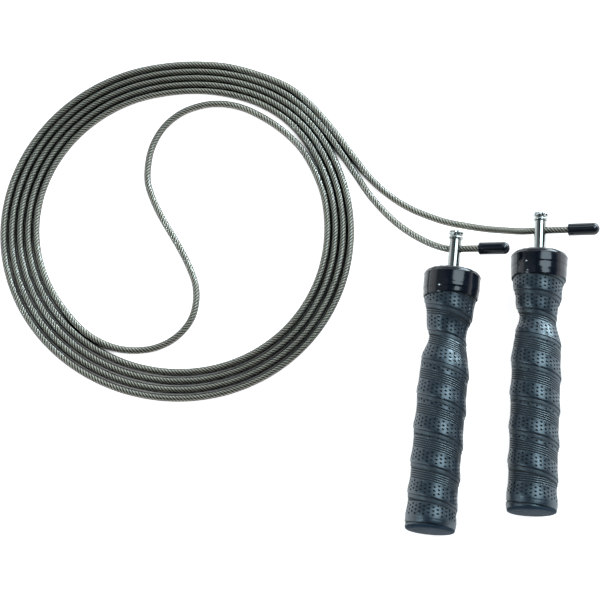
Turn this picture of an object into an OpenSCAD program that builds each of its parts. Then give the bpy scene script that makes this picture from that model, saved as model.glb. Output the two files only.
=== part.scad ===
// Speed jump rope: a coated wire cable between two tape-wrapped, ball-bearing handles.
// The rope lies on a flat surface, wound in a flat double spiral with both handles beside it.
// Each handle is drawn along its own axis, z = 0 at the butt, then laid down by on_side().

/* [Cable] */
// Outside diameter of the coated cable
cable_d = 3.6; // [3:0.1:3.8]
// Outer radius of the wound coil
coil_outer_r = 95.9; // [95:0.1:98]
// Inner radius of the wound coil
coil_inner_r = 76; // [74:0.1:77]

/* [End cap] */
// Outside diameter of the cap on each cable end
cap_d = 6.6; // [6:0.1:7]
// Length of the cap
cap_len = 16.6; // [15:0.1:20]
// Depth of the blind hole in the cap
cap_depth = 14.5; // [12:0.1:14.5]
// Distance from the axle's centre to the left cap
left_cap_start = 14; // [12:0.1:16]
// Distance from the axle's centre to the right cap
right_cap_start = 15.3; // [12:0.1:18]

/* [Handle] */
// Length from the butt to the collar's front face
handle_len = 139; // [137:0.5:145]
// Radius over the grip tape
grip_r = 13.5; // [13:0.1:14]
// Radius over the tape at the neck
neck_r = 10.2; // [10.2:0.1:11]
// Radius over the finishing tape on the collar
collar_r = 15.1; // [14.9:0.1:15.5]
// Thickness of the wound grip tape
tape_t = 1.4; // [1:0.1:1.4]

/* [Bearing] */
// Bore of each ball bearing
bearing_bore = 6; // [6:0.1:6.2]
// Outside diameter of each ball bearing
bearing_od = 15; // [15:0.1:15.2]
// Width of each ball bearing
bearing_w = 5; // [4:0.5:5]
// Ball diameter
ball_d = 3; // [2.6:0.1:3]
// Number of balls in one bearing
ball_count = 7; // [5:1:8]

/* [Axle] */
// Diameter of the axle outside the handle
axle_d = 6.6; // [6.4:0.1:7]
// Diameter of the cross hole that the cable passes through
cross_hole_d = 4; // [4:0.1:4.2]
// Distance from the collar's face to the cross hole
hole_reach = 12.8; // [12:0.1:14]
// Distance from the collar's face to the axle's end
axle_reach = 18; // [17.5:0.1:19.5]
// Diameter of the clamp screw's head
screw_head_d = 8.2; // [7.5:0.1:9]
// Height of the clamp screw's head
screw_head_h = 4.5; // [4:0.1:5]

/* [Layout] */
// Left handle: butt x
left_x = -31; // [-32:0.1:-30]
// Left handle: butt y
left_y = -85; // [-86:0.1:-84]
// Left handle: turn away from the y axis, degrees
left_yaw = 5.9; // [5:0.1:7]
// Left cable end: rise through the cross hole, degrees
left_rise = 24; // [22:1:26]
// Right handle: butt x
right_x = 21.7; // [21:0.1:23]
// Right handle: butt y
right_y = -75.4; // [-77:0.1:-74]
// Right handle: turn away from the y axis, degrees
right_yaw = 3.2; // [2.5:0.1:4]
// Right cable end: rise through the cross hole, degrees
right_rise = 18; // [16:1:20]

/* [Hidden] */

$fn = 64;

// A side is [butt x, butt y, yaw, rise of the cable end, start of the end cap].
LEFT = [left_x, left_y, left_yaw, left_rise, left_cap_start];
RIGHT = [right_x, right_y, right_yaw, right_rise, right_cap_start];

// Clearances: between pieces that are fixed together, between ones that turn, and round the cable.
fixed_gap = 0.02;
turn_gap = 0.15;

cable_r = cable_d / 2;
axle_r = axle_d / 2;
cross_hole_r = cross_hole_d / 2;
hole_z = handle_len + hole_reach;
axle_top = handle_len + axle_reach;

// Handle core: the butt cap's flange closes the bottom, and the front face lies just inside the collar.
butt_flange = 1.8;
butt_r = grip_r - 0.5;
core_top = handle_len - 0.4;
cavity_r = 9.5;
cavity_top = 86;
passage_r = 6.2;

// Outline over the grip tape: [height, radius]
GRIP = [
    [butt_flange, butt_r],
    [3, grip_r],
    [84, grip_r],
    [90, grip_r - 0.5],
    [96, neck_r + 1.6],
    [100, neck_r + 0.4],
    [103, neck_r],
    [106, neck_r + 0.4],
    [112, neck_r + 2],
    [120, collar_r - 1.7],
    [126, collar_r - 0.6],
    [131, collar_r - 0.4]
];
tape_top = 131;
// The tape thins to its cut end under the finishing tape.
tape_end_t = 0.5;
core_collar_r = collar_r - 0.4 - tape_end_t;
CORE = concat(
    [for (i = [0 : len(GRIP) - 2]) [GRIP[i][0], GRIP[i][1] - tape_t]],
    [[tape_top, core_collar_r], [core_top - 0.7, core_collar_r + 0.1], [core_top, core_collar_r - 0.5]]
);
finish_bottom = 126.6;

// Bearings: the rear one sits on a shoulder at the neck, and the front one just behind the collar's face.
rear_z = 97.5;
front_z = 131.5;
pitch_r = (bearing_bore + bearing_od) / 4;
ball_r = ball_d / 2;
groove_r = ball_r + fixed_gap;
inner_land_r = pitch_r - 0.75;
outer_land_r = pitch_r + 0.75;
journal_r = bearing_bore / 2;
front_shoulder = front_z + bearing_w + 0.1;

// Lock nut, washer and screw
thread_r = 2.5;
washer_t = 1;
nut_h = 4;
nut_flats = 8;
nut_z = rear_z - washer_t - nut_h;
axle_bottom = nut_z - 1;
screw_r = 1.6;
tapped_r = 1.65;
slot_w = 1;
slot_depth = 1.2;

// The handle tips up a little, because its collar is fatter than its grip: both touch the surface.
rest_z = 3;
collar_z = 129;
pitch = atan((collar_r - grip_r) / (collar_z - rest_z));
butt_height = grip_r * cos(pitch) - rest_z * sin(pitch);

// Cable's route where it isn't coiled: [x, y, height of the centre]
coil_x = -163.4;
coil_y = 81.1;
S_ROUTE = [
    [-126.8, 149.4], [-135, 151.9], [-143.4, 152.7], [-152.5, 151.4], [-162.6, 147.3],
    [-171.8, 139.3], [-177.8, 128.4], [-180.1, 117.7], [-180.1, 107.6], [-177, 97.6],
    [-172.2, 87.6], [-166.4, 77.6], [-161, 68.1], [-156.6, 58.8], [-153.6, 49.9],
    [-153.2, 40.5], [-155.8, 30.7], [-162.8, 21.8], [-172.8, 15.9], [-183.5, 13.9],
    [-193.9, 14.8], [-204.4, 18.7], [-213.8, 25.2]
];
LEFT_ROUTE = [
    [-107, 159.4, cable_r], [-94.8, 149.6, cable_r], [-84.2, 137.6, cable_r], [-75.5, 124.8, cable_r],
    [-67.6, 112.1, cable_r], [-60.6, 101.1, 2], [-52.6, 90.9, 3], [-43.9, 81.8, 5.2],
    [-34.1, 74.2, 8.1], [-25, 68.9, 11.3]
];
RIGHT_ROUTE = [
    [-104.6, 162.6, cable_r], [-92.2, 152.4, cable_r], [-81.6, 140, cable_r], [-73.5, 129, cable_r],
    [-66.5, 119.1, cable_r], [-60.6, 111.2, cable_r], [-53.8, 104, cable_r], [-45.5, 97.2, 1.9],
    [-37, 91.9, 2.4], [-27.8, 87.7, 3.2], [-18.8, 84.2, 4.5], [-10.2, 81.9, 6.1],
    [0.9, 79.4, 8.2], [10.9, 77.9, 10.2], [20, 76.7, 12.3]
];
// Half of the straight stretch of cable inside the cross hole
hole_run = 3;
tube_sides = 8;

// ---------------------------------------------------------------- placing

// Lays a handle's own space down on the surface, with its local -y side up.
module on_side(side) {
    translate([side[0], side[1], butt_height])
        rotate([0, 0, -side[2]])
            rotate([pitch - 90, 0, 0])
                children();
}

// Turns local x into the cable's direction through the cross hole, and z along it.
module along_cable(side) {
    on_side(side)
        translate([0, 0, hole_z])
            rotate([0, 0, -side[3]])
                rotate([0, 90, 0])
                    children();
}

// Axis of a handle, as a unit vector
function axle_dir(side) = [sin(side[2]) * cos(pitch), cos(side[2]) * cos(pitch), sin(pitch)];

// Direction of the cable through the cross hole, as a unit vector
function cable_dir(side) =
    cos(side[3]) * [cos(side[2]), -sin(side[2]), 0]
    + sin(side[3]) * [-sin(pitch) * sin(side[2]), -sin(pitch) * cos(side[2]), cos(pitch)];

function hole_point(side) = [side[0], side[1], butt_height] + hole_z * axle_dir(side);

// Point on the straight end of the cable, t from the axle's centre
function end_point(side, t) = hole_point(side) + t * cable_dir(side);

function end_points(side) = [for (t = [-hole_run, hole_run, side[4] + cap_depth]) end_point(side, t)];

// ---------------------------------------------------------------- swept tube

function unit(v) = v / norm(v);

function tangent(route, i) = unit(route[min(i + 1, len(route) - 1)] - route[max(i - 1, 0)]);

function ring(centre, t) =
    let (side = unit(cross(t, [0, 0, 1])), up = cross(side, t))
    [for (j = [0 : tube_sides - 1]) centre + cable_r * (cos(j * 360 / tube_sides) * side
        + sin(j * 360 / tube_sides) * up)];

module tube(route) {
    last = len(route) - 1;
    points = [for (i = [0 : last]) each ring(route[i], tangent(route, i))];
    walls = [for (i = [0 : last - 1]) for (j = [0 : tube_sides - 1])
        let (a = i * tube_sides + j, b = i * tube_sides + (j + 1) % tube_sides)
        each [[a, b, b + tube_sides], [a, b + tube_sides, a + tube_sides]]];
    start = [for (j = [tube_sides - 1 : -1 : 0]) j];
    end = [for (j = [0 : tube_sides - 1]) last * tube_sides + j];
    polyhedron(points, concat(walls, [start, end]));
}

// ---------------------------------------------------------------- rope

module coil() {
    color("slategray")
        translate([coil_x, coil_y, 0])
            rotate_extrude($fn = 180)
                translate([coil_inner_r, 0])
                    square([coil_outer_r - coil_inner_r, cable_d]);
}

module s_bend() {
    color("slategray") tube([for (p = S_ROUTE) [p[0], p[1], cable_r]]);
}

module left_lead() {
    color("slategray") tube(concat(LEFT_ROUTE, end_points(LEFT)));
}

module right_lead() {
    color("slategray") tube(concat(RIGHT_ROUTE, end_points(RIGHT)));
}

module end_cap() {
    cap_r = cap_d / 2;
    color("#16181c")
        difference() {
            union() {
                cylinder(h = cap_len - cap_r, r = cap_r);
                translate([0, 0, cap_len - cap_r])
                    sphere(r = cap_r);
            }
            translate([0, 0, -1])
                cylinder(h = cap_depth + 1, r = cable_r + fixed_gap);
        }
}

// ---------------------------------------------------------------- handle

function flip(points) = [for (p = points) [p[1], p[0]]];

function reversed(points) = [for (i = [len(points) - 1 : -1 : 0]) points[i]];

module handle_core() {
    color("#1d2024")
        difference() {
            rotate_extrude()
                polygon(concat([[0, butt_flange]], flip(CORE), [[0, core_top]]));
            translate([0, 0, -1])
                cylinder(h = cavity_top + 1, r = cavity_r);
            cylinder(h = rear_z + 1, r = passage_r);
            translate([0, 0, rear_z])
                cylinder(h = handle_len, d = bearing_od);
        }
}

module grip_tape() {
    inner = [for (i = [0 : len(GRIP) - 1]) [CORE[i][0], CORE[i][1] + fixed_gap]];
    color("#34424f")
        rotate_extrude()
            polygon(concat(flip(GRIP), flip(reversed(inner))));
}

module finish_tape() {
    color("#0c0e12")
        rotate_extrude()
            polygon([
                [collar_r - 0.56 + fixed_gap, finish_bottom],
                [collar_r - 0.25, finish_bottom],
                [collar_r, collar_z],
                [collar_r, handle_len - 1.6],
                [collar_r - 0.45, handle_len - 0.4],
                [core_collar_r - 0.9, handle_len],
                [core_collar_r - 0.9, core_top + fixed_gap],
                [core_collar_r - 0.5, core_top + fixed_gap],
                [core_collar_r + 0.1 + fixed_gap, core_top - 0.7],
                [core_collar_r + fixed_gap, tape_top + 0.1],
                [collar_r - 0.4 + fixed_gap, tape_top + 0.1],
                [collar_r - 0.4 + fixed_gap, tape_top]
            ]);
}

module butt_cap() {
    plug_r = cavity_r - 0.05;
    plug_wall = 2;
    plug_top = 9;
    color("#8d9aa6")
        rotate_extrude()
            polygon([
                [0, 0],
                [butt_r - 3.5, 0],
                [butt_r - 1.2, 0.35],
                [butt_r - 0.2, 1],
                [butt_r, butt_flange - fixed_gap],
                [plug_r, butt_flange - fixed_gap],
                [plug_r, plug_top],
                [plug_r - plug_wall, plug_top],
                [plug_r - plug_wall, butt_flange + 0.8],
                [0, butt_flange + 0.8]
            ]);
}

module front_cap() {
    base_z = front_z + bearing_w + 0.05;
    relief_r = outer_land_r + 0.4;
    relief_depth = 0.6;
    color("#1d2024")
        translate([0, 0, base_z])
            difference() {
                cylinder(h = core_top - base_z, d = bearing_od - 2 * fixed_gap);
                translate([0, 0, -1])
                    cylinder(h = handle_len, r = axle_r + 0.25);
                translate([0, 0, -0.01])
                    cylinder(h = relief_depth, r = relief_r);
            }
}

// ---------------------------------------------------------------- bearings

module race_grooves() {
    translate([0, 0, bearing_w / 2])
        rotate_extrude()
            translate([pitch_r, 0])
                circle(r = groove_r);
}

module outer_race(z) {
    color("silver")
        translate([0, 0, z])
            difference() {
                cylinder(h = bearing_w, r = bearing_od / 2 - fixed_gap);
                translate([0, 0, -1])
                    cylinder(h = bearing_w + 2, r = outer_land_r);
                race_grooves();
            }
}

module inner_race(z) {
    color("silver")
        translate([0, 0, z])
            difference() {
                cylinder(h = bearing_w, r = inner_land_r);
                translate([0, 0, -1])
                    cylinder(h = bearing_w + 2, r = journal_r + fixed_gap);
                race_grooves();
            }
}

module balls(z) {
    ball_sides = 32;
    color("gainsboro")
        for (i = [0 : ball_count - 1])
            rotate([0, 0, i * 360 / ball_count])
                translate([pitch_r, 0, z + bearing_w / 2])
                    sphere(r = ball_r, $fn = ball_sides);
}

module cage(z) {
    cage_h = 3.8;
    pocket_r = ball_r + 0.05;
    color("darkgray")
        translate([0, 0, z + bearing_w / 2])
            difference() {
                cylinder(h = cage_h, r = outer_land_r - turn_gap, center = true);
                cylinder(h = cage_h + 2, r = inner_land_r + turn_gap, center = true);
                for (i = [0 : ball_count - 1])
                    rotate([0, 90, i * 360 / ball_count])
                        translate([0, 0, inner_land_r - 1])
                            cylinder(h = outer_land_r - inner_land_r + 2, r = pocket_r);
            }
}

// ---------------------------------------------------------------- axle and its small parts

module spacer_sleeve() {
    sleeve_r = 4.2;
    color("lightsteelblue")
        translate([0, 0, rear_z + bearing_w + fixed_gap])
            difference() {
                cylinder(h = front_z - rear_z - bearing_w - 2 * fixed_gap, r = sleeve_r);
                translate([0, 0, -1])
                    cylinder(h = front_z, r = journal_r + fixed_gap);
            }
}

module washer() {
    washer_r = 4.4;
    color("silver")
        translate([0, 0, rear_z - washer_t])
            difference() {
                cylinder(h = washer_t - fixed_gap, r = washer_r);
                translate([0, 0, -1])
                    cylinder(h = washer_t + 2, r = thread_r + fixed_gap);
            }
}

module lock_nut() {
    color("silver")
        translate([0, 0, nut_z])
            difference() {
                cylinder(h = nut_h - fixed_gap, r = nut_flats / sqrt(3), $fn = 6);
                translate([0, 0, -1])
                    cylinder(h = nut_h + 2, r = thread_r + fixed_gap);
            }
}

module axle(side) {
    chamfer = 0.3;
    color("lightgray")
        difference() {
            union() {
                translate([0, 0, axle_bottom])
                    cylinder(h = rear_z - axle_bottom, r = thread_r);
                translate([0, 0, rear_z - fixed_gap])
                    cylinder(h = front_shoulder - rear_z + fixed_gap, r = journal_r);
                translate([0, 0, front_shoulder])
                    cylinder(h = axle_top - front_shoulder - chamfer, r = axle_r);
                translate([0, 0, axle_top - chamfer])
                    cylinder(h = chamfer, r1 = axle_r, r2 = axle_r - chamfer);
            }
            translate([0, 0, hole_z])
                cylinder(h = axle_reach, r = tapped_r);
            translate([0, 0, hole_z])
                rotate([0, 0, -side[3]])
                    rotate([0, 90, 0])
                        cylinder(h = 2 * axle_d, r = cross_hole_r, center = true);
        }
}

module clamp_screw() {
    head_r = screw_head_d / 2;
    head_z = axle_top + 0.1;
    neck = head_r - 0.75;
    tip_z = hole_z + cable_r + 0.05;
    color("silver")
        difference() {
            rotate_extrude()
                polygon([
                    [0, tip_z],
                    [screw_r - 0.3, tip_z],
                    [screw_r, tip_z + 0.3],
                    [screw_r, head_z],
                    [axle_r - 0.2, head_z],
                    [head_r - 0.2, head_z + 0.3],
                    [head_r - 0.2, head_z + 1.3],
                    [neck, head_z + 1.7],
                    [neck, head_z + 2.2],
                    [head_r, head_z + 2.6],
                    [head_r, head_z + screw_head_h - 0.4],
                    [head_r - 0.5, head_z + screw_head_h],
                    [0, head_z + screw_head_h]
                ]);
            translate([-head_r - 1, -slot_w / 2, head_z + screw_head_h - slot_depth])
                cube([2 * head_r + 2, slot_w, slot_depth + 1]);
        }
}

// ---------------------------------------------------------------- nodes

coil();
s_bend();
left_lead();
right_lead();
along_cable(LEFT) translate([0, 0, LEFT[4]]) end_cap();  // left_end_cap
along_cable(RIGHT) translate([0, 0, RIGHT[4]]) end_cap();  // right_end_cap

on_side(LEFT) handle_core();  // left_handle_core
on_side(LEFT) grip_tape();  // left_grip_tape
on_side(LEFT) finish_tape();  // left_finish_tape
on_side(LEFT) butt_cap();  // left_butt_cap
on_side(LEFT) front_cap();  // left_front_cap
on_side(LEFT) outer_race(front_z);  // left_front_outer_race
on_side(LEFT) inner_race(front_z);  // left_front_inner_race
on_side(LEFT) balls(front_z);  // left_front_balls
on_side(LEFT) cage(front_z);  // left_front_cage
on_side(LEFT) outer_race(rear_z);  // left_rear_outer_race
on_side(LEFT) inner_race(rear_z);  // left_rear_inner_race
on_side(LEFT) balls(rear_z);  // left_rear_balls
on_side(LEFT) cage(rear_z);  // left_rear_cage
on_side(LEFT) spacer_sleeve();  // left_spacer_sleeve
on_side(LEFT) washer();  // left_washer
on_side(LEFT) lock_nut();  // left_lock_nut
on_side(LEFT) axle(LEFT);  // left_axle
on_side(LEFT) clamp_screw();  // left_clamp_screw

on_side(RIGHT) handle_core();  // right_handle_core
on_side(RIGHT) grip_tape();  // right_grip_tape
on_side(RIGHT) finish_tape();  // right_finish_tape
on_side(RIGHT) butt_cap();  // right_butt_cap
on_side(RIGHT) front_cap();  // right_front_cap
on_side(RIGHT) outer_race(front_z);  // right_front_outer_race
on_side(RIGHT) inner_race(front_z);  // right_front_inner_race
on_side(RIGHT) balls(front_z);  // right_front_balls
on_side(RIGHT) cage(front_z);  // right_front_cage
on_side(RIGHT) outer_race(rear_z);  // right_rear_outer_race
on_side(RIGHT) inner_race(rear_z);  // right_rear_inner_race
on_side(RIGHT) balls(rear_z);  // right_rear_balls
on_side(RIGHT) cage(rear_z);  // right_rear_cage
on_side(RIGHT) spacer_sleeve();  // right_spacer_sleeve
on_side(RIGHT) washer();  // right_washer
on_side(RIGHT) lock_nut();  // right_lock_nut
on_side(RIGHT) axle(RIGHT);  // right_axle
on_side(RIGHT) clamp_screw();  // right_clamp_screw
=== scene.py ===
"""Looks of the speed jump rope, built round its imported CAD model.

Lengths in the route and on the handles are in millimetres, as in part.scad. They turn into metres where a
mesh is made.
"""

import itertools
import math

import bmesh
import bpy
import numpy as np
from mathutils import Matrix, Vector


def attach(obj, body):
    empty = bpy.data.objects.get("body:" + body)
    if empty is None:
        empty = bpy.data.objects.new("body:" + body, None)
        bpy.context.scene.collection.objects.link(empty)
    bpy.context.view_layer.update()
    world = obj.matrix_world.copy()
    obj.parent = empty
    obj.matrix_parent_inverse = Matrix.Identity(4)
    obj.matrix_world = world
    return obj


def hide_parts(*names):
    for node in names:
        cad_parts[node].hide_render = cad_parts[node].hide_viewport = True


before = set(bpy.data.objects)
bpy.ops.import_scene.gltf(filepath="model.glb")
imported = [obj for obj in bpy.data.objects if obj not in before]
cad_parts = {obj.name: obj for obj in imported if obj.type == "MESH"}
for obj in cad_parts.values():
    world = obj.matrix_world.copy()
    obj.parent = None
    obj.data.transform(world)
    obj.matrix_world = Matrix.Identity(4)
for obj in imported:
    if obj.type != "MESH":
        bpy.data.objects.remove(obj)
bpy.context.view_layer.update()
MM = 0.001

# ---------------------------------------------------------------- layout, as in part.scad

CABLE_R = 1.8
CAP_R, CAP_LEN, CAP_DEPTH = 3.3, 16.6, 14.5
HANDLE_LEN, HOLE_Z, AXLE_TOP = 139.0, 151.8, 157.0
GRIP_R, NECK_R, COLLAR_R = 13.5, 10.2, 15.1
BUTT_R, BUTT_FLANGE = 13.0, 1.8
# A handle rests on its grip and on its collar at these two heights
REST_Z, COLLAR_Z = 3, 129
PITCH = math.atan((COLLAR_R - GRIP_R) / (COLLAR_Z - REST_Z))
BUTT_HEIGHT = GRIP_R * math.cos(PITCH) - REST_Z * math.sin(PITCH)


class Side:
    """A handle's place: its own x, up and axis directions, and where the cable crosses its axle."""

    def __init__(self, name, x, y, yaw, rise, cap_start):
        turn, rise = math.radians(yaw), math.radians(rise)
        self.name, self.cap_start = name, cap_start
        self.butt = np.array([x, y, BUTT_HEIGHT])
        self.x = np.array([math.cos(turn), -math.sin(turn), 0])
        level = np.array([math.sin(turn), math.cos(turn), 0])
        self.axis = math.cos(PITCH) * level + math.sin(PITCH) * np.array([0, 0, 1])
        self.up = np.cross(self.x, self.axis)
        self.cable = math.cos(rise) * self.x + math.sin(rise) * self.up
        self.hole = self.butt + HOLE_Z * self.axis

    def place(self, theta, z, r):
        """Points of this handle from an angle, a height and a radius. 0 is up, a quarter turn is its x."""
        theta, z, r = np.broadcast_arrays(theta, z, r)
        return (
            self.butt
            + z[..., None] * self.axis
            + (r * np.sin(theta))[..., None] * self.x
            + (r * np.cos(theta))[..., None] * self.up
        )

    def place_cable(self, theta, z, r):
        """The same round the straight end of the cable, with z from the axle's centre."""
        theta, z, r = np.broadcast_arrays(theta, z, r)
        across = np.cross(self.cable, self.axis)
        return (
            self.hole
            + z[..., None] * self.cable
            + (r * np.sin(theta))[..., None] * self.axis
            + (r * np.cos(theta))[..., None] * across
        )


LEFT = Side("left", -31, -85, 5.9, 24, 14)
RIGHT = Side("right", 21.7, -75.4, 3.2, 18, 15.3)

# ---------------------------------------------------------------- camera


def add_camera():
    """The main view: along +Y, and down at 75 degrees."""
    target, tilt = Vector((-0.0977, 0.0421, 0)), math.radians(75)
    distance, half_width = 1.2, 0.1605
    data = bpy.data.cameras.new("camera")
    data.angle = 2 * math.atan(half_width / distance)
    camera = bpy.data.objects.new("camera", data)
    camera.location = target + distance * Vector((0, -math.cos(tilt), math.sin(tilt)))
    camera.rotation_euler = (math.pi / 2 - tilt, 0, 0)
    bpy.context.scene.collection.objects.link(camera)
    bpy.context.scene.camera = camera


add_camera()

# ---------------------------------------------------------------- mesh helpers


def build(name, points, faces, material, sharp=None, layers=None):
    """A mesh object from points in mm and arrays of faces. Edges above sharp, in degrees, stay hard."""
    faces = [np.asarray(f, np.int32) for f in faces if len(f)]
    mesh = bpy.data.meshes.new(name)
    mesh.vertices.add(len(points))
    mesh.vertices.foreach_set("co", (np.asarray(points, float) * MM).astype(np.float32).ravel())
    loops = np.concatenate([f.ravel() for f in faces])
    sizes = np.concatenate([np.full(len(f), f.shape[1], np.int32) for f in faces])
    mesh.loops.add(len(loops))
    mesh.loops.foreach_set("vertex_index", loops)
    mesh.polygons.add(len(sizes))
    mesh.polygons.foreach_set("loop_start", np.concatenate([[0], np.cumsum(sizes)[:-1]]).astype(np.int32))
    for layer, values in (layers or {}).items():
        attribute = mesh.attributes.new(layer, "FLOAT", "POINT")
        attribute.data.foreach_set("value", np.asarray(values, np.float32))
    mesh.update(calc_edges=True)
    mesh.validate()
    work = bmesh.new()
    work.from_mesh(mesh)
    bmesh.ops.delete(work, geom=[v for v in work.verts if not v.link_faces], context="VERTS")
    bmesh.ops.recalc_face_normals(work, faces=work.faces)
    work.to_mesh(mesh)
    work.free()
    mesh.polygons.foreach_set("use_smooth", np.ones(len(mesh.polygons), bool))
    if sharp is not None:
        mesh.set_sharp_from_angle(angle=math.radians(sharp))
    piece = bpy.data.objects.new(name, mesh)
    bpy.context.scene.collection.objects.link(piece)
    mesh.materials.append(material)
    return piece


def ring_faces(rows, columns, closed_rows=False):
    """Quads between rings of vertices, each ring closed on itself."""
    i = np.arange(rows if closed_rows else rows - 1)[:, None]
    j = np.arange(columns)[None, :]
    here, after = i * columns, (i + 1) % rows * columns
    beside = (j + 1) % columns
    return np.stack([here + j, here + beside, after + beside, after + j], -1).reshape(-1, 4)


def lathe(name, place, profile, material, segments, sharp, shape=None, ring=False):
    """A turned piece from (height, radius) pairs. A radius of 0 at an end is the middle of a flat or a dome.

    shape(theta, z, r) gives the height and radius of each vertex. ring joins the last pair to the first.
    """
    theta = np.arange(segments) * 2 * math.pi / segments
    rows = [p for p in profile if p[1] > 0]
    z, r = (np.array([p[k] for p in rows], float)[:, None] + 0 * theta for k in (0, 1))
    if shape:
        z, r = shape(theta[None, :] + 0 * z, z, r)
    points = list(place(theta[None, :], z, r).reshape(-1, 3))
    faces = [ring_faces(len(rows), segments, closed_rows=ring)]
    for pole, row in ((profile[0], 0), (profile[-1], len(rows) - 1)):
        if pole[1] == 0:
            points.append(place(0.0, pole[0], 0.0))
            j = np.arange(segments)
            rim = row * segments + np.stack([j, (j + 1) % segments], -1)
            faces.append(np.column_stack([rim, np.full(segments, len(points) - 1)]))
    return build(name, np.array(points), faces, material, sharp)


def smooth(start, end, x):
    t = np.clip((np.asarray(x, float) - start) / (end - start), 0, 1)
    return t * t * (3 - 2 * t)


# ---------------------------------------------------------------- material helpers


class Nodes:
    """A node material, with a method for each step that the finishes share."""

    def __init__(self, name):
        self.material = bpy.data.materials.new(name)
        self.material.use_nodes = True
        self.tree = self.material.node_tree
        self.tree.nodes.clear()
        self.output = self.tree.nodes.new("ShaderNodeOutputMaterial")

    def add(self, kind, inputs=(), **settings):
        node = self.tree.nodes.new("ShaderNode" + kind)
        for key, value in settings.items():
            setattr(node, key, value)
        for key, value in dict(inputs).items():
            if isinstance(value, bpy.types.NodeSocket):
                self.tree.links.new(value, node.inputs[key])
            else:
                node.inputs[key].default_value = value
        return node

    def noise(self, scale, detail=4.0):
        vector = self.add("TexCoord").outputs["Object"]
        return self.add("TexNoise", {"Scale": scale, "Detail": detail, "Vector": vector}).outputs["Fac"]

    def ramp(self, value, low, high, out_low=0, out_high=1):
        inputs = {"Value": value, "From Min": low, "From Max": high, "To Min": out_low, "To Max": out_high}
        return self.add("MapRange", inputs).outputs["Result"]

    def blend(self, factor, a, b):
        node = self.add("Mix", data_type="RGBA")
        for socket, value in ((node.inputs[0], factor), (node.inputs[6], a), (node.inputs[7], b)):
            if isinstance(value, bpy.types.NodeSocket):
                self.tree.links.new(value, socket)
            else:
                socket.default_value = value
        return node.outputs[2]

    def bump(self, height, strength, distance):
        inputs = {"Height": height, "Strength": strength, "Distance": distance}
        return self.add("Bump", inputs).outputs["Normal"]

    def surface(self, shader):
        self.tree.links.new(shader, self.output.inputs["Surface"])
        return self.material


def colour(r, g, b):
    return (r, g, b, 1.0)


def plain(
    name, base, worn, roughness, scale, spread=0.06, metallic=0.0, bump=0.0, coat=0.0, specular=0.5
):
    """A finish whose colour, roughness and surface vary with fine noise. bump is its relief in metres."""
    n = Nodes(name)
    blotch, grain = n.noise(scale), n.noise(scale * 6, detail=6)
    inputs = {
        "Base Color": n.blend(n.ramp(blotch, 0.35, 0.7), colour(*base), colour(*worn)),
        "Roughness": n.ramp(grain, 0.3, 0.7, roughness - spread, roughness + spread),
        "Metallic": metallic,
        "Coat Weight": coat,
        "Coat Roughness": 0.08,
        "Specular IOR Level": specular,
    }
    if bump:
        inputs["Normal"] = n.bump(grain, 0.5, bump)
    return n.surface(n.add("BsdfPrincipled", inputs).outputs[0])


def wire_material():
    """Drawn steel wire: bright along the crests and painted near black down between the strands, as painted
    shade.
    """
    n = Nodes("wire_steel")
    painted_strand_light = n.add("Attribute", attribute_name="painted_strand_light").outputs["Fac"]
    tone = n.blend(n.ramp(n.noise(900), 0.3, 0.7), colour(0.86, 0.77, 0.64), colour(0.98, 0.89, 0.75))
    inputs = {
        # Painted shade: the base colour goes near black down between the strands and keeps the wire's tone
        # on the crests.
        "Base Color": n.blend(n.ramp(painted_strand_light, 0.15, 0.85), colour(0.018, 0.017, 0.014), tone),
        "Metallic": 0.1,
        "Roughness": n.ramp(n.noise(2500), 0.3, 0.7, 0.45, 0.60),
    }
    return n.surface(n.add("BsdfPrincipled", inputs).outputs[0])


def coat_material():
    """Clear PVC, hardly tinted, that mirrors more towards its edges.

    It doesn't bend light: the wires are drawn as wide as they look through it.
    """
    n = Nodes("clear_coat")
    cloud = n.noise(600)
    tint = n.blend(n.ramp(cloud, 0.3, 0.7), colour(0.88, 0.89, 0.88), colour(0.94, 0.945, 0.94))
    clear = n.add("BsdfTransparent", {"Color": tint}).outputs[0]
    shine = {"Color": colour(1, 1, 1), "Roughness": n.ramp(cloud, 0.3, 0.7, 0.06, 0.12)}
    gloss = n.add("BsdfAnisotropic", shine).outputs[0]
    mirror = n.add("Fresnel", {"IOR": 1.46}).outputs[0]
    return n.surface(n.add("MixShader", {0: mirror, 1: clear, 2: gloss}).outputs[0])


# The tape's relief is painted as shade: from this depth on its colour is painted fully dark.
DEEP = 0.22  # the depth of the tape's relief, in mm, from which on it is fully dark


def tape_material():
    """Tacky polyurethane overgrip: a soft sheen and a fine grain, dull down in its relief and painted dark
    there as painted shade.
    """
    n = Nodes("overgrip")
    relief_shade = n.add("Attribute", attribute_name="relief_shade").outputs["Fac"]
    cloud = n.ramp(n.noise(140, detail=5), 0.3, 0.7)
    tone = n.blend(cloud, colour(0.003, 0.009, 0.019), colour(0.008, 0.019, 0.034))
    # Painted shade: the colour goes near black in the holes, the grooves, the edge lines and where the tape
    # dives under the next turn.
    base = n.blend(n.ramp(relief_shade, 0.0, DEEP), tone, colour(0.004, 0.005, 0.007))
    grain = n.noise(5200, detail=3)
    inputs = {
        "Base Color": base,
        "Roughness": n.ramp(relief_shade, 0.0, DEEP, n.ramp(n.noise(700), 0.3, 0.7, 0.29, 0.39), 0.95),
        "IOR": 1.62,
        "Specular IOR Level": 0.9,
        "Specular Tint": colour(0.80, 0.93, 1.0),
        "Normal": n.bump(grain, 0.35, 0.00006),
    }
    return n.surface(n.add("BsdfPrincipled", inputs).outputs[0])


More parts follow.
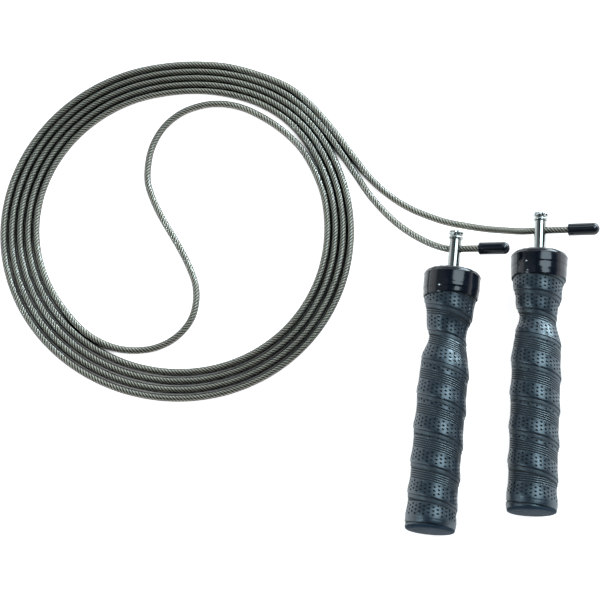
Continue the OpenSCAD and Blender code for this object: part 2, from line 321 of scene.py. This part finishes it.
WIRE, COAT, TAPE = wire_material(), coat_material(), tape_material()
VINYL = plain(
    "cap_vinyl", (0.006, 0.009, 0.014), (0.010, 0.013, 0.019), 0.13, 200, 0.03, bump=0.00001, coat=0.1
)
GLOSS = plain(
    "finish_vinyl", (0.003, 0.005, 0.010), (0.005, 0.008, 0.015), 0.16, 120, 0.04, bump=0.00002, coat=0.2
)
BUTT = plain(
    "butt_plastic", (0.020, 0.036, 0.054), (0.036, 0.057, 0.082), 0.6, 150, bump=0.00003, specular=0.05
)
CORE = plain("core_plastic", (0.016, 0.018, 0.021), (0.024, 0.026, 0.030), 0.5, 250, bump=0.00003)
CHROME = plain("polished_steel", (0.49, 0.51, 0.50), (0.55, 0.57, 0.56), 0.13, 500, 0.03, metallic=1.0)
BALL = plain("bearing_steel", (0.66, 0.66, 0.68), (0.74, 0.74, 0.76), 0.12, 600, 0.03, metallic=1.0)
ZINC = plain("pressed_steel", (0.55, 0.55, 0.57), (0.66, 0.66, 0.68), 0.34, 800, metallic=1.0, bump=0.00001)
ALLOY = plain("sleeve_alloy", (0.70, 0.71, 0.73), (0.76, 0.77, 0.79), 0.28, 500, metallic=1.0)

# ---------------------------------------------------------------- the cable

COIL_X, COIL_Y, COIL_R = -163.4, 81.1, 93.5
FLAT = CABLE_R  # the height of a run that lies on the floor
S_ROUTE = [
    (-95, 123.8), (-104.1, 134.5), (-115, 143), (-126.8, 149.4), (-135, 151.9),
    (-143.4, 152.7), (-152.5, 151.4), (-162.6, 147.3), (-171.8, 139.3), (-177.8, 128.4),
    (-180.1, 117.7), (-180.1, 107.6), (-177, 97.6), (-172.2, 87.6), (-166.4, 77.6),
    (-161, 68.1), (-156.6, 58.8), (-153.6, 49.9), (-153.2, 40.5), (-155.8, 30.7),
    (-162.8, 21.8), (-172.8, 15.9), (-183.5, 13.9), (-193.9, 14.8), (-204.4, 18.7),
    (-213.8, 25.2),
]
LEFT_ROUTE = [
    (-107, 159.4, FLAT), (-94.8, 149.6, FLAT), (-84.2, 137.6, FLAT), (-75.5, 124.8, FLAT),
    (-67.6, 112.1, FLAT), (-60.6, 101.1, 2), (-52.6, 90.9, 3), (-43.9, 81.8, 5.2),
    (-34.1, 74.2, 8.1), (-25, 68.9, 11.3),
]
RIGHT_ROUTE = [
    (-104.6, 162.6, FLAT), (-92.2, 152.4, FLAT), (-81.6, 140, FLAT), (-73.5, 129, FLAT),
    (-66.5, 119.1, FLAT), (-60.6, 111.2, FLAT), (-53.8, 104, FLAT), (-45.5, 97.2, 1.9),
    (-37, 91.9, 2.4), (-27.8, 87.7, 3.2), (-18.8, 84.2, 4.5), (-10.2, 81.9, 6.1),
    (0.9, 79.4, 8.2), (10.9, 77.9, 10.2), (20, 76.7, 12.3),
]
# Degrees at which the arm on the left lead, and the one on the right lead, meet the lead and the S
LEFT_ARM, RIGHT_ARM, ARM_STEP = (64, 748), (936, 60), 12


def coil_point(degrees, arm):
    """A point of the double spiral, whose two arms move in by two places at each pass of the upper right."""
    place = arm + 2 * (sum(smooth(turn + 38, turn + 98, degrees) for turn in (0, 360, 720)) - 1)
    a = math.radians(degrees)
    spacing = 4.28 - 0.45 * math.sin(a) - 0.1 * math.cos(a)
    r = COIL_R + 0.5 * math.cos(3 * a - math.radians(210)) - place * spacing
    return (COIL_X + r * math.cos(a), COIL_Y + r * math.sin(a), FLAT)


def cable_route():
    """The whole cable, from the left end cap to the right one."""
    left_end = [LEFT.hole + t * LEFT.cable for t in (LEFT.cap_start + CAP_DEPTH, 18, 9, 3, 0, -3)]
    right_end = [RIGHT.hole + t * RIGHT.cable for t in (-3, 0, 3, 12, 20, RIGHT.cap_start + CAP_DEPTH)]
    return [
        *left_end,
        *LEFT_ROUTE[::-1],
        *[coil_point(d, 1) for d in range(*LEFT_ARM, ARM_STEP)],
        *[(x, y, FLAT) for x, y in S_ROUTE],
        *[coil_point(d, 0) for d in range(*RIGHT_ARM, -ARM_STEP)],
        *RIGHT_ROUTE,
        *right_end,
    ]


def spline(points, steps=40):
    """A centripetal Catmull-Rom curve through the points."""
    p = np.array(points, float)
    p = np.vstack([2 * p[0] - p[1], p, 2 * p[-1] - p[-2]])
    out = []
    for a, b, c, d in zip(p, p[1:], p[2:], p[3:]):
        t0 = 0.0
        t1, t2, t3 = np.cumsum([max(np.linalg.norm(v) ** 0.5, 1e-6) for v in (b - a, c - b, d - c)])
        t = np.linspace(t1, t2, steps, endpoint=False)[:, None]
        ab = (t1 - t) / (t1 - t0) * a + (t - t0) / (t1 - t0) * b
        bc = (t2 - t) / (t2 - t1) * b + (t - t1) / (t2 - t1) * c
        cd = (t3 - t) / (t3 - t2) * c + (t - t2) / (t3 - t2) * d
        abc = (t2 - t) / (t2 - t0) * ab + (t - t0) / (t2 - t0) * bc
        bcd = (t3 - t) / (t3 - t1) * bc + (t - t1) / (t3 - t1) * cd
        out.append((t2 - t) / (t2 - t1) * abc + (t - t1) / (t2 - t1) * bcd)
    return np.vstack(out + [p[-2:-1]])


def along(curve, spacing):
    """Points about spacing apart on the curve, with their distances and the two directions across it."""
    reach = np.concatenate([[0], np.cumsum(np.linalg.norm(np.diff(curve, axis=0), axis=1))])
    s = np.linspace(0, reach[-1], int(reach[-1] / spacing) + 1)
    p = np.column_stack([np.interp(s, reach, curve[:, k]) for k in range(3)])
    t = np.gradient(p, axis=0)
    t /= np.linalg.norm(t, axis=1)[:, None]
    side = np.cross(t, (0, 0, 1))
    side /= np.linalg.norm(side, axis=1)[:, None]
    return s, p, side, np.cross(side, t)


def swept(name, curve, spacing, angles, radii, material, twist=0.0, layers=None):
    """A tube whose cross-section has these angles and radii and turns by twist for each mm, and its path."""
    s, p, side, up = along(curve, spacing)
    a = angles[None, :] + twist * s[:, None]
    across = (radii * np.cos(a))[..., None] * side[:, None]
    points = p[:, None] + across + (radii * np.sin(a))[..., None] * up[:, None]
    n = len(angles)
    ends = [np.arange(n)[None, ::-1], (len(s) - 1) * n + np.arange(n)[None, :]]
    spread = {k: np.tile(v, len(s)) for k, v in (layers or {}).items()}
    return build(name, points.reshape(-1, 3), [ring_faces(len(s), n), *ends], material, layers=spread), p


STRANDS, STRAND_LAY, ROPE_R = 4, 7.2, 1.40
# One strand from the gap beside it over its crest: its radius as a share of ROPE_R, and how light it is
# painted; the dark towards the gap is painted shade
STRAND = [(0.91, 0.0), (0.96, 0.2), (0.99, 0.75), (1.0, 1.0), (0.99, 0.75), (0.96, 0.2)]
COAT_SIDES, COAT_SPACING = 14, 2.0
CURVE = spline(cable_route())


def around(count):
    """This many even angles round a cross-section."""
    return np.arange(count) * 2 * math.pi / count


def add_cable():
    """Both meshes of the cable on one route, the strands' mesh with nine rings to a turn of the twist."""
    radii = np.full(COAT_SIDES, CABLE_R)
    coat, path = swept("cable_coat", CURVE, COAT_SPACING, around(COAT_SIDES), radii, COAT)
    # The second column of STRAND goes with the mesh as the painted shade between the strands.
    share, painted_strand_light = np.tile(np.transpose(STRAND), STRANDS)
    radii, twist = ROPE_R * share, -2 * math.pi / STRAND_LAY
    layers = {"painted_strand_light": painted_strand_light}
    wires, _ = swept("cable_wires", CURVE, STRAND_LAY / 9, around(len(share)), radii, WIRE, twist, layers)
    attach(coat, "rope")
    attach(wires, "rope")
    return coat, wires, path


def add_end_cap(side):
    """A dip-moulded vinyl cap: a thin lip at its mouth and a round nose."""
    z, wall = side.cap_start, 0.75
    nose_z = z + CAP_LEN - CAP_R
    nose = [(nose_z + CAP_R * math.sin(a), CAP_R * math.cos(a)) for a in np.radians(np.arange(0, 90, 7.5))]
    profile = [
        (z + 3, CABLE_R + 0.01), (z + 0.25, CABLE_R + 0.02), (z + 0.02, CABLE_R + 0.25),
        (z - 0.02, CAP_R - wall), (z + 0.05, CAP_R - 0.18), (z + 0.25, CAP_R + 0.02),
        (z + 0.7, CAP_R + 0.02), (z + 1.1, CAP_R - 0.06), (z + 2, CAP_R - 0.03), *nose, (z + CAP_LEN, 0),
    ]
    cap = lathe(side.name + "_end_cap_vinyl", side.place_cable, profile, VINYL, 64, 50)
    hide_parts(side.name + "_end_cap")
    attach(cap, "rope")
    return cap


coat, wires, cable_path = add_cable()
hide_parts("coil", "s_bend", "left_lead", "right_lead")
add_end_cap(LEFT)
add_end_cap(RIGHT)

# ---------------------------------------------------------------- the grip tape

# The outline over the tape, as (height, radius)
OUTLINE = [
    (0, 12.9), (BUTT_FLANGE, BUTT_R + 0.1), (REST_Z, GRIP_R), (84, GRIP_R), (90, GRIP_R - 0.5),
    (96, NECK_R + 1.6), (100, NECK_R + 0.4), (103, NECK_R), (106, NECK_R + 0.4), (112, NECK_R + 2),
    (120, COLLAR_R - 1.7), (126, COLLAR_R - 0.6), (131, COLLAR_R - 0.4), (139, COLLAR_R - 0.4),
]
HEIGHTS = np.arange(-5, 145, 0.25)


def outline_radii():
    """The outline's radius at each of HEIGHTS, with its corners rounded everywhere but at the butt."""
    drawn = np.interp(HEIGHTS, *zip(*OUTLINE))
    window = np.hanning(21)
    rounded = np.convolve(np.pad(drawn, 10, mode="edge"), window / window.sum(), mode="valid")
    return np.where(HEIGHTS < 6, drawn, rounded)


RADII = outline_radii()

# Where the tape's lower edge crosses the handle's right flank, turn by turn from the butt
EDGES = {
    "left": [1.8, 1.8, 9.4, 25.2, 41.9, 60.4, 79.4, 97.7, 110.2, 127, 137, 147],
    "right": [1.8, 1.8, 14.2, 32.6, 50.6, 68.2, 86, 100.6, 110.9, 121.8, 133, 144],
}
FIRST_TURN = -2.0  # the turn of the first of EDGES
TAPE_START, TAPE_END = -1.95, 7.5  # the turns at which the tape itself starts and ends
TAPE_T, TAPE_W = 0.62, 24.6
STEP = 0.65  # how far the tape falls from its lower edge, which laps over the turn below
TUCK_Z, TAPE_TOP = 126.0, 131.0  # the tape is squeezed in between these heights, under the finishing tape
DEEPEST = 1.38  # how far in from the outline the tape may lie
BORDER, BORDER_DROP = 2.2, 0.38  # the thin strip along the lower edge: its width, and how much thinner it is
PERFORATED, HOLE_ROWS = (3.2, 16.25), 6  # where the two bands of holes start
COLUMN, ROW = 1.25, 1.03  # half of the holes' spacing round the handle and along it
HOLE_SPAN, HOLE_R = 0.30, 0.54  # a hole's half width as a share of its cell's width, and its half height
HOLE_CORNERS = np.radians([225, 270, 315, 0, 45, 90, 135, 180])
# The inner ring's depth also paints the hole near black, as painted shade.
HOLE_RINGS = [(1.0, 0.02), (0.8, 0.5)]  # size and depth
# A groove's depth also paints it fully dark, as painted shade.
GROOVES, GROOVE_DEPTH = [10.95, 12.1, 13.25, 14.4, 15.55], 0.26
BACK_SHADE = 0.3  # how dark the tape's back is, in the units of its relief


class Wrap:
    """The surface of one handle's tape.

    w counts turns from the handle's right flank, and v is how far up from the tape's lower edge a point is.
    """

    def __init__(self, side):
        """Sets out the lower edge at fine steps of w, by cubics through its heights at whole turns."""
        self.side, edges = side, np.array(EDGES[side.name], float)
        slope = np.gradient(edges)
        slope[:2] = 0
        last = FIRST_TURN + len(edges) - 1
        self.fine = np.linspace(FIRST_TURN, last, 800)
        k = np.clip(np.floor(self.fine - FIRST_TURN).astype(int), 0, len(edges) - 2)
        t = self.fine - FIRST_TURN - k
        self.edge = (
            (2 * t**3 - 3 * t**2 + 1) * edges[k] + (t**3 - 2 * t**2 + t) * slope[k]
            + (3 * t**2 - 2 * t**3) * edges[k + 1] + (t**3 - t**2) * slope[k + 1]
        )

    def z_edge(self, w):
        return np.interp(w, self.fine, self.edge)

    def at(self, w, v, depth=0.0, under=False):
        """Points on the tape's face, or on its back."""
        w, v, depth = np.broadcast_arrays(*(np.asarray(x, float) for x in (w, v, depth)))
        theta = math.pi / 2 - 2 * math.pi * w
        low = self.z_edge(w)
        past = v - (self.z_edge(w + 1) - low)  # how far in under the next turn
        z = low + v + 0.22 * np.sin(2 * theta + 9 * w) * smooth(-0.4, 0.6, w)
        squeeze = (TAPE_TOP - TUCK_Z) / np.maximum(low + TAPE_W - TUCK_Z, 5)
        z = np.where(z > TUCK_Z, TUCK_Z + (z - TUCK_Z) * squeeze, z)
        outer = np.interp(z, HEIGHTS, RADII)
        fall = np.maximum(smooth(3.2, 10, v), smooth(-1.2, -0.2, past))
        ripple = 0.05 * np.sin(3 * theta + 5.1 * w) + 0.04 * np.sin(7 * theta - 3.3 * w + 0.4 * v)
        r = outer - STEP * fall - 0.5 * smooth(0.3, 1.6, past) + ripple * smooth(0, 3, v) - 0.06
        if self.side.name == "left":
            r = r + self.pleat(theta, z)
        if under:
            r = r - TAPE_T
        else:
            r = r - BORDER_DROP * self.border(w) * (1 - smooth(BORDER - 0.14, BORDER + 0.2, v)) - depth
        return self.side.place(theta, z, np.maximum(r, outer - DEEPEST))

    @staticmethod
    def border(w):
        """How far the tape's thin border shows: hardly on the turn that is trimmed to the butt."""
        return 0.15 + 0.85 * smooth(-0.6, 0.0, w)

    def shade(self, w, v):
        """How dark the tape is where it dives under the next turn."""
        return 0.26 * smooth(-1.0, -0.1, v - (self.z_edge(w + 1) - self.z_edge(w)))

    @staticmethod
    def pleat(theta, z):
        """A pleat that runs up the right of the neck, where the tape gathers."""
        across = (theta + math.pi) % (2 * math.pi) - math.pi - 0.84 - 0.005 * (z - 104)
        ridge = smooth(-0.08, 0.08, across) - smooth(0.15, 0.9, across)
        fold = 0.5 * ridge - 0.4 * np.exp(-((across / 0.11) ** 2))
        return fold * smooth(101, 107, z) * (1 - smooth(121, 126, z))


def tape_columns(wrap):
    """Turn counts about COLUMN apart round the handle, an odd number of them."""
    w = np.linspace(TAPE_START, TAPE_END, 4000)
    radius = np.interp(wrap.z_edge(w) + 9, HEIGHTS, RADII)
    reach = np.concatenate([[0], np.cumsum(2 * math.pi * radius[1:] * np.diff(w))])
    count = 2 * int(reach[-1] / COLUMN / 2) + 1
    return np.interp(np.linspace(0, reach[-1], count), reach, w)


def tape_lines():
    """The lines along the tape as (v, depth), up its face and back down its other side.

    With them come the first line of each perforated band and the number of lines on the face.
    """
    # A line's depth sinks it and also paints it dark: the lines at the lower edge and at the step above the
    # border are partly real grooves, partly painted shade.
    lines = [(0.08, 0.30), (-0.03, 0.22), (0.05, 0.14), (0.35, 0.05), (BORDER - 0.3, 0.05)]
    lines += [(BORDER - 0.14 + k * 0.085, d) for k, d in enumerate((0.05, 0.22, 0.22, 0.08, 0.0))]
    bands = [len(lines)]
    lines += [(PERFORATED[0] + k * ROW, 0.0) for k in range(HOLE_ROWS + 2)]
    for v in GROOVES:
        lines += [(v - 0.38, 0.0), (v - 0.19, GROOVE_DEPTH), (v + 0.19, GROOVE_DEPTH), (v + 0.38, 0.0)]
    bands.append(len(lines))
    lines += [(PERFORATED[1] + k * ROW, 0.0) for k in range(HOLE_ROWS + 2)]
    lines += [(23.7, 0.0), (TAPE_W, 0.1)]
    face_lines = len(lines)
    lines += [(v, 0.0) for v in (TAPE_W, 19, 14, 10, 8, 6.5, 5, 3.2, 1.2)]
    return lines, bands, face_lines


def plain_columns(line, bands, count):
    """The columns between this line and the next that no hole's cell takes up.

    A cell is two columns wide and two rows high. In each second pair of columns the cells sit a row higher,
    and one row is left over below them. In the other pairs one is left over above.
    """
    columns = np.arange(count)
    for band in bands:
        if line == band:
            return columns[(columns // 2) % 2 == 1]
        if line == band + HOLE_ROWS:
            return columns[(columns // 2) % 2 == 0]
        if band < line < band + HOLE_ROWS:
            return columns[:0]
    return columns


def add_tape(side):
    """The overgrip as one closed ribbon: rounded edges, rows of pierced holes and pressed grooves."""
    wrap = Wrap(side)
    w = tape_columns(wrap)
    n = len(w)
    lines, bands, face_lines = tape_lines()
    points, relief_shade, faces = [], [], []

    def put(p, depth):
        """Adds points and returns their numbers."""
        first = len(relief_shade)
        flat = p.reshape(-1, 3)
        points.append(flat)
        relief_shade.extend(np.broadcast_to(depth, len(flat)))
        return first + np.arange(len(flat))

    # Each point's relief value is painted shade: its depth, the painted shade where the tape dives under the
    # next turn, or BACK_SHADE on the back.
    grid = []
    for k, (v, depth) in enumerate(lines):
        if k < bands[0]:
            depth = depth * wrap.border(w)
        shade = np.maximum(depth, wrap.shade(w, v)) if k < face_lines else BACK_SHADE
        grid.append(put(wrap.at(w, v, depth, k >= face_lines), shade))
    for k, low in enumerate(grid):
        high = grid[(k + 1) % len(grid)]
        c = plain_columns(k, bands, n - 1)
        faces.append(np.column_stack([low[c], low[c + 1], high[c + 1], high[c]]))
    pairs = np.arange(0, n - 1, 2)
    for band, row in itertools.product(bands, range(HOLE_ROWS)):
        c = pairs[(pairs // 2) % 2 == row % 2]
        low, mid, high = grid[band + row : band + row + 3]
        rims = []
        for size, depth in HOLE_RINGS:
            ww = w[c + 1][:, None] + (w[c + 2] - w[c])[:, None] * HOLE_SPAN * size * np.cos(HOLE_CORNERS)
            vv = lines[band + row + 1][0] + HOLE_R * size * np.sin(HOLE_CORNERS) + 0 * ww
            rims.append(put(wrap.at(ww, vv, depth), depth).reshape(-1, len(HOLE_CORNERS)))
        cell = np.column_stack(
            [low[c], low[c + 1], low[c + 2], mid[c + 2], high[c + 2], high[c + 1], high[c], mid[c]]
        )
        for outer, inner in ((cell, rims[0]), rims):
            beside = np.roll(outer, -1, axis=1), np.roll(inner, -1, axis=1)
            quads = np.stack([outer, beside[0], beside[1], inner], -1)
            faces.append(quads.reshape(-1, 4))
        faces.append(rims[1])
    for column, order in ((0, 1), (n - 1, -1)):
        faces.append(np.array([[row[column] for row in grid][::order]]))
    name = side.name + "_overgrip"
    tape = build(name, np.vstack(points), faces, TAPE, sharp=60, layers={"relief_shade": relief_shade})
    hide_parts(side.name + "_grip_tape")
    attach(tape, side.name + "_handle")


# ---------------------------------------------------------------- the turned pieces of a handle

WRAP_R, WRAP_START, WRAP_ROUND = 15.0, 124.9, 2.5
WRAP_PHASE = {"left": 0.6, "right": 2.4}
# The edges of its laps: (height, step in radius, tilt, how far the step takes)
LAPS = {
    "left": [(128.6, 0.19, 0.35, 0.6), (130.2, 0.045, -0.9, 0.3)],
    "right": [(128.4, 0.03, 0.9, 0.3), (131.4, 0.19, -0.8, 0.6)],
}


def add_finish_tape(side):
    """Laps of glossy vinyl tape, drawn down onto the grip tape and folded in over the collar's front."""
    phase = WRAP_PHASE[side.name]

    def shape(theta, z, r):
        outside = (z > 124) & (r > 14.0) & (z < 137)
        lap = 0.5 * np.sin(theta + phase) + 0.3 * np.sin(3 * theta + 2 * phase)
        for height, rise, tilt, reach in LAPS[side.name]:
            edge = height + tilt * np.sin(theta - phase)
            r = r + np.where(outside, rise * smooth(-reach, reach / 2, z - edge), 0)
        r = r + np.where(outside, 0.035 * np.sin(5 * theta + phase + 0.35 * z) * smooth(125, 128, z), 0)
        z = z + np.where(z < 126.5, 0.8 * lap, 0)
        z = z + smooth(137.9, 138.9, z) * 0.10 * np.sin(17 * theta + 3 * np.sin(2 * theta + phase))
        return z, r

    top, low_r = HANDLE_LEN, WRAP_R - 0.44
    profile = [(WRAP_START - 0.2, low_r - 0.4), (WRAP_START - 0.3, low_r - 0.12)]
    profile += [(z, low_r + 0.07 * (z - WRAP_START)) for z in np.arange(WRAP_START, 128.2, 0.4)]
    profile += [(z, WRAP_R - 0.18) for z in np.arange(128.5, 136.3, 0.2)]
    for a in np.radians(np.arange(0, 79, 6)):
        profile.append((top + WRAP_ROUND * (math.sin(a) - 1), WRAP_R + WRAP_ROUND * (math.cos(a) - 1)))
    profile += [(top, 13.1), (top - 0.4, 13.05), (top - 0.45, 13.6), (TAPE_TOP, 14.2)]
    tape = lathe(side.name + "_vinyl_wrap", side.place, profile, GLOSS, 144, 40, shape, ring=True)
    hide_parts(side.name + "_finish_tape")
    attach(tape, side.name + "_handle")


def add_butt(side):
    """The moulded end plug: a low dome with a faint ring and a rounded rim, and a cup inside the core."""
    dome = [(0.0, 0), (0.0, 3.0), (0.01, 6.0), (0.03, 8.8)]
    ring = [(0.10, 9.0), (0.10, 9.3), (0.04, 9.5), (0.06, 10.4), (0.12, 11.2)]
    rim = [(0.30, 12.0), (0.62, 12.6), (1.0, 12.85), (1.5, 12.95), (BUTT_FLANGE, BUTT_R)]
    plug = [(BUTT_FLANGE, 9.4), (8.8, 9.4), (9.0, 9.2), (9.0, 7.5), (2.6, 7.4), (2.6, 0)]
    profile = dome + ring + rim + plug
    butt = lathe(side.name + "_end_plug", side.place, profile, BUTT, 96, 35)
    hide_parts(side.name + "_butt_cap")
    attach(butt, side.name + "_handle")


SHANK_R, SCREW_R, SCREW_H = 1.6, 4.1, 4.5
SCALLOPS, SCALLOP_DEPTH, SLOT_W, SLOT_DEPTH = 9, 0.38, 1.0, 1.0


def cut_slot(piece, side, bottom):
    """Cuts a slot across the end of a piece on a handle's axis, up from this height."""
    corners = [
        side.butt + (bottom + up) * side.axis + across * side.x + out * side.up
        for up in (0, 3)
        for out in (-SLOT_W / 2, SLOT_W / 2)
        for across in (-6, 6)
    ]
    faces = np.array([(0, 1, 3, 2), (4, 6, 7, 5), (0, 4, 5, 1), (2, 3, 7, 6), (0, 2, 6, 4), (1, 5, 7, 3)])
    cutter = build("slot_cutter", corners, [faces], CHROME)
    cut = piece.modifiers.new("slot", "BOOLEAN")
    cut.object, cut.operation, cut.solver = cutter, "DIFFERENCE", "EXACT"
    bpy.context.view_layer.update()
    mesh = bpy.data.meshes.new_from_object(piece.evaluated_get(bpy.context.evaluated_depsgraph_get()))
    piece.modifiers.clear()
    piece.data = mesh
    mesh.set_sharp_from_angle(angle=math.radians(35))
    bpy.data.objects.remove(cutter)


def add_screw(side):
    """The thumb screw: a shank, a lower flange and a scalloped upper one, with a slot across its end."""
    base, tip = AXLE_TOP + 0.1, HOLE_Z + CABLE_R + 0.05

    def shape(theta, z, r):
        edge = (z > base + 2.5) & (r > SCREW_R - 0.55)
        return z, r - np.where(edge, SCALLOP_DEPTH * (0.5 + 0.5 * np.cos(SCALLOPS * theta)) ** 1.5, 0)

    flange = [(0, 3.0), (0.12, 3.55), (0.35, 3.85), (0.7, 3.95), (1.1, 3.85), (1.4, 3.6)]
    waist = [(1.62, 3.3), (1.9, 3.2), (2.15, 3.3), (2.4, 3.6)]
    head = [(2.6, 3.9), (2.85, 4.05), (3.2, SCREW_R), (3.7, SCREW_R), (4.0, 4.0), (4.25, 3.8), (4.42, 3.4)]
    profile = [(tip, 0), (tip, 1.3), (tip + 0.3, SHANK_R), (base, SHANK_R)]
    profile += [(base + z, r) for z, r in flange + waist + head]
    profile += [(base + SCREW_H, 2.9), (base + SCREW_H, 0)]
    screw = lathe(side.name + "_thumb_screw", side.place, profile, CHROME, 144, 35, shape)
    cut_slot(screw, side, base + SCREW_H - SLOT_DEPTH)
    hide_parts(side.name + "_clamp_screw")
    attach(screw, side.name + "_clamp")


# ---------------------------------------------------------------- the pieces that keep their CAD meshes

NODE_FINISH = {
    "handle_core": CORE,
    "front_cap": CORE,
    "axle": CHROME,
    "spacer_sleeve": ALLOY,
    "washer": ZINC,
    "lock_nut": ZINC,
}
for bearing in ("front", "rear"):
    for part in ("outer_race", "inner_race", "balls"):
        NODE_FINISH[f"{bearing}_{part}"] = BALL
    NODE_FINISH[bearing + "_cage"] = ZINC

for side in (LEFT, RIGHT):
    add_tape(side)
    add_finish_tape(side)
    add_butt(side)
    add_screw(side)
    for part, finish in NODE_FINISH.items():
        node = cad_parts[f"{side.name}_{part}"]
        node.data.materials.clear()
        node.data.materials.append(finish)

# ---------------------------------------------------------------- studio


def add_floor():
    """A pale floor with a soft even glow of its own, and painted shadow in the narrowest gaps, where its
    glow goes out and its colour goes near black.
    """
    n = Nodes("floor")
    open_sky = n.add("AmbientOcclusion", {"Distance": 0.006}, samples=32).outputs["AO"]
    tone = n.blend(n.noise(3), colour(0.55, 0.55, 0.55), colour(0.58, 0.58, 0.58))
    # Painted shadow: the colour goes near black where the ambient occlusion node finds the floor hemmed in
    # by the cable.
    tone = n.blend(n.ramp(open_sky, 0.24, 0.38), colour(0.03, 0.03, 0.03), tone)
    gap_shaded_glow = n.ramp(open_sky, 0.26, 0.41, 0.0, 0.92)
    inputs = {"Base Color": tone, "Roughness": 0.9, "Specular IOR Level": 0.1, "Emission Strength": gap_shaded_glow}
    inputs["Emission Color"] = colour(1, 1, 1)
    material = n.surface(n.add("BsdfPrincipled", inputs).outputs[0])
    reach, height = 3000, -0.05
    corners = [(x * reach, y * reach, height) for x, y in ((-1, -1), (1, -1), (1, 1), (-1, 1))]
    build("floor", corners, [np.array([(0, 1, 2, 3)])], material)


LIT_CENTRE, LIGHT_TINT = Vector((-0.03, 0.05, 0.0)), (0.74, 0.92, 1.0)


def add_light(name, direction, distance, size, radiance):
    """A softbox in this direction from the lit centre: its size in metres and how bright its face looks."""
    location = LIT_CENTRE + distance * Vector(direction).normalized()
    data = bpy.data.lights.new(name, "AREA")
    data.shape, data.size, data.size_y = "RECTANGLE", size[0], size[1]
    data.energy = radiance * math.pi * size[0] * size[1]
    data.color = LIGHT_TINT
    light = bpy.data.objects.new(name, data)
    light.location = location
    light.rotation_euler = (LIT_CENTRE - location).to_track_quat("-Z", "Y").to_euler()
    bpy.context.scene.collection.objects.link(light)


def add_world():
    """A white sweep at the horizon under a dim ceiling."""
    world = bpy.data.worlds.new("studio")
    world.use_nodes = True
    tree = world.node_tree
    where = tree.nodes.new("ShaderNodeTexCoord")
    split = tree.nodes.new("ShaderNodeSeparateXYZ")
    fade = tree.nodes.new("ShaderNodeMapRange")
    fade.interpolation_type = "SMOOTHSTEP"
    for key, value in {"From Min": 0.12, "From Max": 0.45, "To Min": 0.95, "To Max": 0.035}.items():
        fade.inputs[key].default_value = value
    tree.links.new(where.outputs["Generated"], split.inputs["Vector"])
    tree.links.new(split.outputs["Z"], fade.inputs["Value"])
    background = tree.nodes["Background"]
    background.inputs["Color"].default_value = colour(0.97, 0.985, 1.0)
    tree.links.new(fade.outputs["Result"], background.inputs["Strength"])
    bpy.context.scene.world = world


add_floor()
add_world()
add_light("key", (0.377, 0.26, 0.889), 1.3, (0.72, 0.75), 4.1)
add_light("accent", (0.51, 0.53, 0.68), 1.3, (0.26, 0.22), 23)
add_light("back", (0.05, 0.70, 0.70), 1.5, (1.6, 0.45), 2.6)
add_light("left_fill", (-0.75, 0.1, 0.65), 1.3, (0.7, 1.6), 0.24)
add_light("spark", (-0.785, -0.16, 0.585), 0.85, (0.24, 0.06), 26)
add_light("rim", (0.64, 0.74, 0.17), 1.6, (1.2, 0.34), 19)
bpy.context.scene.view_settings.view_transform = "Standard"
